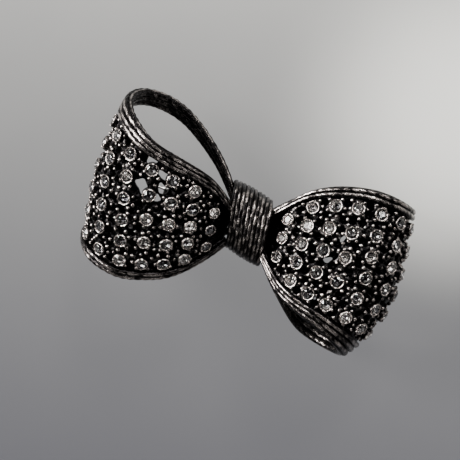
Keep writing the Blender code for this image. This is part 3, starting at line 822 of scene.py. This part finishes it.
def plan_setting(loop):
    """Where the cups, the dark pits between them and the grains go."""
    cups = cup_places(loop)
    s, v = np.meshgrid(
        np.arange(PLAN_START, FIELD_END + PLAN_PAST_END, PLAN_STEP),
        np.arange(-PLAN_HALF_WIDTH, PLAN_HALF_WIDTH + 0.01, PLAN_STEP),
        indexing="ij",
    )
    s = s.ravel()
    v = v.ravel()
    room = room_at(loop, s, v)
    from_cups = nearest(cups, s, v)
    from_openings = nearest(OPENINGS[loop], s, v)
    clear = (
        (room > PIT_ROOM)
        & (from_cups > BEZEL_RADIUS + PIT_CUP_ROOM)
        & (from_openings > PIT_OPENING_ROOM)
    )
    widest = np.minimum(from_cups, room + PIT_BAND_ALLOWANCE)[clear]
    order = np.argsort(-widest, kind="stable")
    candidates = np.stack([values[clear][order] for values in (s, v, from_cups)], 1).tolist()
    pits = spread_out(candidates, PIT_SPACING)
    solid = (
        (s > BEAD_START_S)
        & (room > BEAD_ROOM)
        & (from_cups > BEZEL_RADIUS + BEAD_CUP_ROOM)
        & (nearest(pits, s, v) > BEAD_PIT_ROOM)
        & (opening_value(loop, s, v)[0] > BEAD_OPENING_ROOM)
    )
    places = np.stack([s[solid], v[solid]], 1).tolist()
    dice.shuffle(places)
    places.sort(key=lambda place: round(place[0] / BEAD_BAND))
    grains = spread_out(places, BEAD_SPACING)
    return cups, pits, grains


def field_height(plan, s, v):
    """(height, wear and painted shade) of the dark web between the cups; the pits and the root get
    painted shade.
    """
    cups, pits, _ = plan
    from_cups = nearest(cups, s, v)
    height = np.full(np.shape(s), WEB_LEVEL)
    ridges_s = np.sin(5.1 * s + 1.3 * np.sin(3.7 * v))
    ridges_v = np.sin(4.7 * v + 1.1 * np.sin(4.1 * s))
    height += WEB_LUMP * ridges_s * ridges_v
    height += WEB_COLLAR_SLOPE * np.clip(WEB_COLLAR_REACH - from_cups, 0, WEB_COLLAR_WIDTH)
    sunk = np.zeros(np.shape(s))
    for pit_s, pit_v, clearance in pits:
        radius = min(PIT_RADIUS, clearance - BEZEL_RADIUS + PIT_CUP_OVERLAP)
        t = np.clip(PIT_EASE - np.hypot(s - pit_s, v - pit_v) / radius, 0, 1)
        sunk = np.maximum(sunk, smooth_step(t))
    height -= PIT_DEPTH * sunk
    root = np.clip((ROOT_SINK_END - s) / ROOT_SINK_LENGTH, 0, 1)
    height -= ROOT_SINK * root * root * (3 - 2 * root)
    # The pits and the root are painted darker than the blackened web: painted shade.
    wear_and_shade = np.clip(WEB_WORN - PIT_PAINTED_SHADE * sunk - ROOT_PAINTED_SHADE * root, 0, 1)
    return height, wear_and_shade


def build_field(loop, plan):
    """The dark web, closed but for a few openings, and its turned-over hem."""
    s, t = np.meshgrid(
        np.arange(FIELD_START, FIELD_END, FIELD_STEP),
        np.linspace(-1, 1, FIELD_COLUMNS),
        indexing="ij",
    )
    reach = np.where(t > 0, field_reach(loop, s, 1), field_reach(loop, s, -1))
    v = t * (reach + FIELD_UNDER_RIM)
    s = slanted(loop, s, v)
    opening, middle_s, middle_v = opening_value(loop, s, v)
    rows, columns = s.shape
    corner = (opening[:-1, :-1] + opening[1:, :-1] + opening[1:, 1:] + opening[:-1, 1:]) / 4
    kept = corner >= 1
    used = np.zeros((rows, columns), bool)
    cut = np.zeros((rows, columns), bool)
    for di in (0, 1):
        for dj in (0, 1):
            used[di : rows - 1 + di, dj : columns - 1 + dj] |= kept
            cut[di : rows - 1 + di, dj : columns - 1 + dj] |= ~kept
    border = used & cut
    s = np.where(border, middle_s + (s - middle_s) / opening, s)
    v = np.where(border, middle_v + (v - middle_v) / opening, v)
    height, wear_and_shade = field_height(plan, s, v)
    lip = np.clip((LIP_REACH - opening) / LIP_WIDTH, 0, 1)
    height = height + LIP_RISE * lip
    over = ribbon(loop, s, v, height)
    under = ribbon(loop, s, v, height - FIELD_THICKNESS + LIP_THINNING * lip)
    layer = rows * columns
    faces = []
    open_edges = {}
    for i, j in zip(*np.nonzero(kept)):
        a = i * columns + j
        quad = (a, a + columns, a + columns + 1, a + 1)
        faces.append(quad)
        faces.append(tuple(layer + k for k in reversed(quad)))
        for start, stop in zip(quad, quad[1:] + quad[:1]):
            if (stop, start) in open_edges:
                del open_edges[stop, start]
            else:
                open_edges[start, stop] = True
    for start, stop in open_edges:
        faces.append((stop, start, layer + start, layer + stop))
    points = np.concatenate([over.reshape(-1, 3), under.reshape(-1, 3)])
    values = np.concatenate([wear_and_shade.ravel(), np.full(layer, FIELD_BACK_WORN)])
    taken = np.zeros(2 * layer, bool)
    for face in faces:
        taken[list(face)] = True
    renumber = np.cumsum(taken) - 1
    shape = Shape()
    shape.add(points[taken], [tuple(renumber[list(face)]) for face in faces], values[taken])
    low = -float(field_reach(loop, FIELD_END, -1)) - HEM_OVERRUN
    high = float(field_reach(loop, FIELD_END, 1)) + HEM_OVERRUN
    v_hem = np.linspace(low, high, HEM_POINTS)
    s_hem = slanted(loop, FIELD_END - HEM_BACK, v_hem)
    along, _, facing = ribbon_axes(loop, s_hem, v_hem)
    centres = ribbon(loop, s_hem, v_hem, WEB_LEVEL)
    add_rope(shape, centres, along, facing, HEM_RADIUS, HEM_PITCH)
    return shape.build(f"{loop}_field", FIELD_METAL)


def build_bezels(loop, plan):
    """The cups, each with claws over its stone."""
    shape = Shape()
    for s, v, size in plan[0]:
        axes = axes_at(loop, s, v)
        origin = ribbon(loop, s, v, STONE_SEAT + dice.uniform(-0.05, 0.05))
        profile = np.array(BEZEL_PROFILE) * (size, 1)
        add_turned(shape, origin, axes, profile[::-1], BEZEL_WORN[::-1], BEZEL_SIDES)
        turn = dice.uniform(0, math.pi)
        for k in range(CLAWS):
            angle = turn + math.pi / 2 * k + dice.uniform(-0.2, 0.2)
            flat = axes[0] * math.cos(angle) + axes[1] * math.sin(angle)
            place = origin + (flat * CLAW_DISTANCE * size + axes[2] * CLAW_HEIGHT) * MM
            radius = dice.uniform(*CLAW_RADII)
            add_bead(shape, place, axes, radius, 1.0, CLAW_SIDES, CLAW_BEAD_RINGS)
    return shape.build(f"{loop}_bezels", METAL)


def build_grains(loop, plan):
    shape = Shape()
    for s, v in plan[2]:
        radius = BEAD_RADIUS * dice.uniform(*BEAD_SIZES)
        origin = ribbon(loop, s, v, BEAD_HEIGHT + dice.uniform(*BEAD_RISES))
        add_bead(shape, origin, axes_at(loop, s, v), radius, dice.uniform(*BEAD_WEAR))
    return shape.build(f"{loop}_grains", METAL)


def build_gem_mesh():
    """A round brilliant with sixteen girdle points: a clear crown on a silvered back."""
    radius = STONE_RADIUS * MM
    points = []
    turn = math.pi / 8

    def ring(count, start, distance, height):
        first = len(points)
        for i in range(count):
            angle = start + 2 * math.pi * i / count
            x = radius * distance * math.cos(angle)
            y = radius * distance * math.sin(angle)
            points.append((x, y, height * radius))
        return [first + i for i in range(count)]

    table = ring(8, turn, 0.54, 0.36)
    mid = ring(8, 0, 0.76, 0.25)
    upper = ring(16, 0, 1.0, 0.05)
    lower = ring(16, 0, 1.0, -0.02)
    deep = ring(8, 0, 0.42, -0.42)
    culet = len(points)
    points.append((0, 0, -0.72 * radius))
    crown = [tuple(table)]
    back = []
    for i in range(8):
        after = (i + 1) % 8
        crown.append((table[i - 1], mid[i], table[i]))
        crown.append((table[i], mid[i], upper[2 * i + 1], mid[after]))
        crown.append((mid[i], upper[2 * i], upper[2 * i + 1]))
        crown.append((mid[i], upper[2 * i - 1], upper[2 * i]))
        back.append((lower[2 * i + 1], lower[2 * i], deep[i]))
        back.append((lower[2 * i], lower[2 * i - 1], deep[i]))
        back.append((lower[2 * i + 1], deep[i], deep[after]))
        back.append((deep[i], culet, deep[after]))
    for j in range(16):
        k = (j + 1) % 16
        crown.append((upper[j], lower[j], lower[k], upper[k]))
    mesh = bpy.data.meshes.new("brilliant")
    mesh.from_pydata(points, [], crown + back)
    mesh.materials.append(CROWN)
    mesh.materials.append(FOIL)
    mesh.polygons.foreach_set("material_index", [0] * len(crown) + [1] * len(back))
    return mesh


def add_gems(loop, plan, mesh):
    """A stone in every cup, each leaning a little its own way."""
    for number, (s, v, size) in enumerate(plan[0], 1):
        origin = ribbon(loop, s, v, STONE_SEAT + STONE_RISE)
        matrix = Matrix([list(axis) for axis in axes_at(loop, s, v)]).transposed().to_4x4()
        lean_x = Matrix.Rotation(dice.uniform(-STONE_LEAN, STONE_LEAN), 4, "X")
        lean_y = Matrix.Rotation(dice.uniform(-STONE_LEAN, STONE_LEAN), 4, "Y")
        lean = lean_x @ lean_y
        spin = Matrix.Rotation(dice.uniform(0, math.pi / 4), 4, "Z")
        place = Matrix.Translation(Vector(origin)) @ matrix
        gem = bpy.data.objects.new(f"{loop}_gem_{number:02d}", mesh)
        bpy.context.collection.objects.link(gem)
        gem.matrix_world = place @ lean @ spin @ Matrix.Scale(size, 4)
        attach(gem, "brooch")
        if number <= CAD_STONES:
            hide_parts(f"{loop}_stone_{number:02d}")


# ---- cords ----


def build_rim(loop, side):
    """An edge band: twisted cords side by side on both faces of a core, and one on its edge."""
    shape = Shape()
    s = np.arange(0, RIBBON_LENGTH, RIM_STEP)
    outer = half_width(s)
    width = rim_width(s, side)
    core = [ribbon(loop, s, side * (outer - width * (1 - across)), out) for across, out in RIM_CORE]
    sections = np.stack(core if side > 0 else core[::-1], 1)
    add_sweep(shape, sections[:, ::-1])
    cords = RIM_CORDS[side]
    radius = width / (2 * cords) * RIM_FULLNESS
    for number in range(cords):
        across = (number + 0.5) / cords
        v = side * (outer - width * (1 - across) * RIM_SPREAD - RIM_INSET)
        front = RIM_FRONT + RIM_CROWN * math.sin(math.pi * across)
        depth = RIM_OUTER_DEPTH if number == cords - 1 else RIM_DEPTH
        _, sideways, facing = ribbon_axes(loop, s, v)
        for out, turn, shine in ((front, 1, 1.0), (RIM_BACK, -1, RIM_BACK_SHINE)):
            sway = RIM_SWAY * np.sin(s * dice.uniform(0.6, 1.1) + dice.uniform(0, 6))
            centres = ribbon(loop, s, v + 0.5 * sway, out + sway)
            flattened = facing * turn * RIM_FLATNESS
            pitch = RIM_PITCH * dice.uniform(0.9, 1.15)
            add_rope(
                shape, centres, sideways * turn, flattened, radius, pitch, depth=depth, shine=shine
            )
    v = side * (outer - EDGE_CORD_INSET)
    _, sideways, facing = ribbon_axes(loop, s, v)
    centres = ribbon(loop, s, v, EDGE_CORD_HEIGHT)
    add_rope(shape, centres, -side * facing, side * sideways, EDGE_CORD_RADIUS, EDGE_CORD_PITCH)
    return shape.build(f"{loop}_rim_{'plus' if side > 0 else 'minus'}", METAL)


def knot_outline(count, inset):
    """(y, z) of the knot's outline in mm, evenly spaced, and its outward direction."""
    angle = np.linspace(0, 2 * math.pi, KNOT_OUTLINE_POINTS)
    middle = (KNOT_FRONT_W + KNOT_BACK_W) / 2
    half_height = (KNOT_FRONT_W - KNOT_BACK_W) / 2 - inset
    cosine = np.cos(angle)
    sine = np.sin(angle)
    y = (KNOT_HALF_WIDTH - inset) * np.sign(cosine) * np.abs(cosine) ** KNOT_POWER
    z = middle + half_height * np.sign(sine) * np.abs(sine) ** KNOT_POWER
    distance = np.concatenate([[0], np.cumsum(np.hypot(np.diff(y), np.diff(z)))])
    even = np.linspace(0, distance[-1], count, endpoint=False)
    y = np.interp(even, distance, y)
    z = np.interp(even, distance, z)
    ahead_y = np.roll(y, -1) - np.roll(y, 1)
    ahead_z = np.roll(z, -1) - np.roll(z, 1)
    length = np.hypot(ahead_y, ahead_z)
    return y, z + LIFT, ahead_z / length, -ahead_y / length


def knot_ring(count, place, inset, sway=0.0):
    """Points round the knot at a place along the bow, and their outward directions."""
    y, z, out_y, out_z = knot_outline(count, inset)
    x = place * (1 + KNOT_WIDENING * y / KNOT_HALF_WIDTH) - KNOT_SLANT * y
    points = np.stack([x + sway, y + KNOT_RISE + KNOT_STEP * place, z], 1) * MM
    return points, np.stack([np.zeros(count), out_y, out_z], 1)


def build_knot():
    """The cords wound round the waist, over a dark sleeve."""
    shape = Shape()
    radius = KNOT_CORD_RADIUS
    count = KNOT_CORD_POINTS
    reach = KNOT_HALF_LENGTH - radius * KNOT_END_INSET
    share = np.arange(count) / count
    across = np.tile(np.array([1.0, 0, 0]), (count, 1))
    for number in range(KNOT_CORDS):
        place = reach * (2 * number / (KNOT_CORDS - 1) - 1)
        drop = KNOT_ENDS_DROP * (place / reach) ** 2
        waves = dice.choice((2, 3, 4))
        sway = KNOT_SWAY * np.sin(share * 2 * math.pi * waves + dice.uniform(0, 6))
        centres, out = knot_ring(count, place, radius + drop, sway)
        pitch = KNOT_PITCH * dice.uniform(0.9, 1.1)
        add_rope(shape, centres, across, out, radius, pitch, closed=True, shine=KNOT_CORD_SHINE)
    sleeve = []
    for end, inset in SLEEVE_CORNERS:
        sleeve.append(knot_ring(count, end * (reach - SLEEVE_SHORTER), inset)[0])
    add_sweep(shape, np.stack(sleeve, 1)[:, ::-1], closed=True)
    return shape.build("knot_cords", METAL)


def build_core():
    """The bar inside the knot, out of sight, that the ribbons are soldered to."""
    shape = Shape()
    rings = [knot_ring(CORE_POINTS, place, inset)[0] for place, inset in CORE_RINGS]
    add_sweep(shape, np.stack(rings))
    return shape.build("core_bar", FITTING_METAL)


# ---- putting it together ----


def add_loops():
    gem_mesh = build_gem_mesh()
    for loop in LOOPS:
        plan = plan_setting(loop)
        upper = 1 if loop == "right" else -1
        pieces = (
            (build_field(loop, plan), f"{loop}_panel"),
            (build_bezels(loop, plan), None),
            (build_grains(loop, plan), None),
            (build_rim(loop, upper), f"{loop}_upper_rim"),
            (build_rim(loop, -upper), f"{loop}_lower_rim"),
        )
        for piece, cad_node in pieces:
            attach(piece, "brooch")
            if cad_node:
                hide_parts(cad_node)
        add_gems(loop, plan, gem_mesh)


def dress_fittings():
    """The pin fittings keep their CAD shapes, with eased edges and finer finishes."""
    for name, material in (
        ("pin_plate", FITTING_METAL),
        ("hinge_block", FITTING_METAL),
        ("hinge_rivet", STEEL),
        ("pin_stem", STEEL),
        ("catch_body", FITTING_METAL),
        ("catch_rotor", STEEL),
    ):
        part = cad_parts[name]
        part.data.materials.clear()
        part.data.materials.append(material)
        bevel = part.modifiers.new("eased_edges", "BEVEL")
        bevel.width = EASED_EDGE
        bevel.segments = 2
        bevel.limit_method = "ANGLE"
        bevel.angle_limit = EASED_ANGLE


def add_floor():
    mesh = bpy.data.meshes.new("floor")
    reach = FLOOR_REACH
    corners = ((-reach, -reach), (reach, -reach), (reach, reach), (-reach, reach))
    mesh.from_pydata([(x, y, FLOOR_Z) for x, y in corners], [], [(0, 1, 2, 3)])
    mesh.materials.append(glowing_floor_painted_light("glowing_floor_painted_light"))
    floor = bpy.data.objects.new("floor", mesh)
    bpy.context.collection.objects.link(floor)


def add_sky():
    world = bpy.data.worlds.new("studio")
    world.use_nodes = True
    tree = world.node_tree
    right, up, towards = camera_axes()
    sky = node(tree, "ShaderNodeTexCoord").outputs["Generated"]
    parts = node(tree, "ShaderNodeSeparateXYZ")
    tree.links.new(sky, parts.inputs[0])
    height = parts.outputs["Z"]
    strength = spread(tree, height, *HORIZON_HEIGHTS, HORIZON_STRENGTH, SKY_STRENGTH)
    for (to_right, to_up, to_camera), inner, outer, gain in SOFT_BOXES:
        direction = right * to_right + up * to_up + towards * to_camera
        facing = measure(tree, "DOT_PRODUCT", sky, direction.normalized())
        near = math.cos(math.radians(inner))
        far = math.cos(math.radians(outer))
        strength = combine(tree, "ADD", spread(tree, facing, far, near, 0, gain), strength)
    lamps = node(tree, "ShaderNodeTexVoronoi", Scale=LAMP_SCALE)
    tree.links.new(sky, lamps.inputs["Vector"])
    spots = spread(tree, lamps.outputs["Distance"], *LAMP_EDGE, LAMP_GAIN, 0)
    above = spread(tree, height, *LAMP_HEIGHTS, 0, 1)
    strength = combine(tree, "ADD", strength, combine(tree, "MULTIPLY", spots, above))
    background = tree.nodes["Background"]
    background.inputs["Color"].default_value = SKY_COLOUR
    tree.links.new(strength, background.inputs["Strength"])
    bpy.context.scene.world = world


def add_camera():
    right, up, towards = camera_axes()
    data = bpy.data.cameras.new("camera")
    data.lens = CAMERA_LENS
    data.sensor_width = CAMERA_SENSOR
    data.clip_start = CAMERA_CLIP
    data.dof.use_dof = False
    camera = bpy.data.objects.new("camera", data)
    bpy.context.collection.objects.link(camera)
    focus = Vector((0, 0, LIFT * MM)) + right * LOOK_RIGHT + up * LOOK_UP
    matrix = Matrix((right, up, towards)).transposed().to_4x4()
    camera.matrix_world = Matrix.Translation(focus + towards * CAMERA_DISTANCE) @ matrix
    bpy.context.scene.camera = camera


def add_key_light():
    """A square soft light aimed at the brooch."""
    right, up, towards = camera_axes()
    where = right * KEY_PLACE[0] + up * KEY_PLACE[1] + towards * KEY_PLACE[2]
    data = bpy.data.lights.new("key", "AREA")
    data.size = KEY_SIZE
    data.energy = KEY_POWER
    light = bpy.data.objects.new("key", data)
    bpy.context.collection.objects.link(light)
    aim = where.to_track_quat("Z", "Y").to_matrix().to_4x4()
    light.matrix_world = Matrix.Translation(where) @ aim


def main():
    add_loops()
    knot = build_knot()
    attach(knot, "brooch")
    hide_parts("knot_wrap")
    core = build_core()
    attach(core, "brooch")
    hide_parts("waist_core")
    dress_fittings()
    add_floor()
    add_sky()
    add_camera()
    add_key_light()


main()
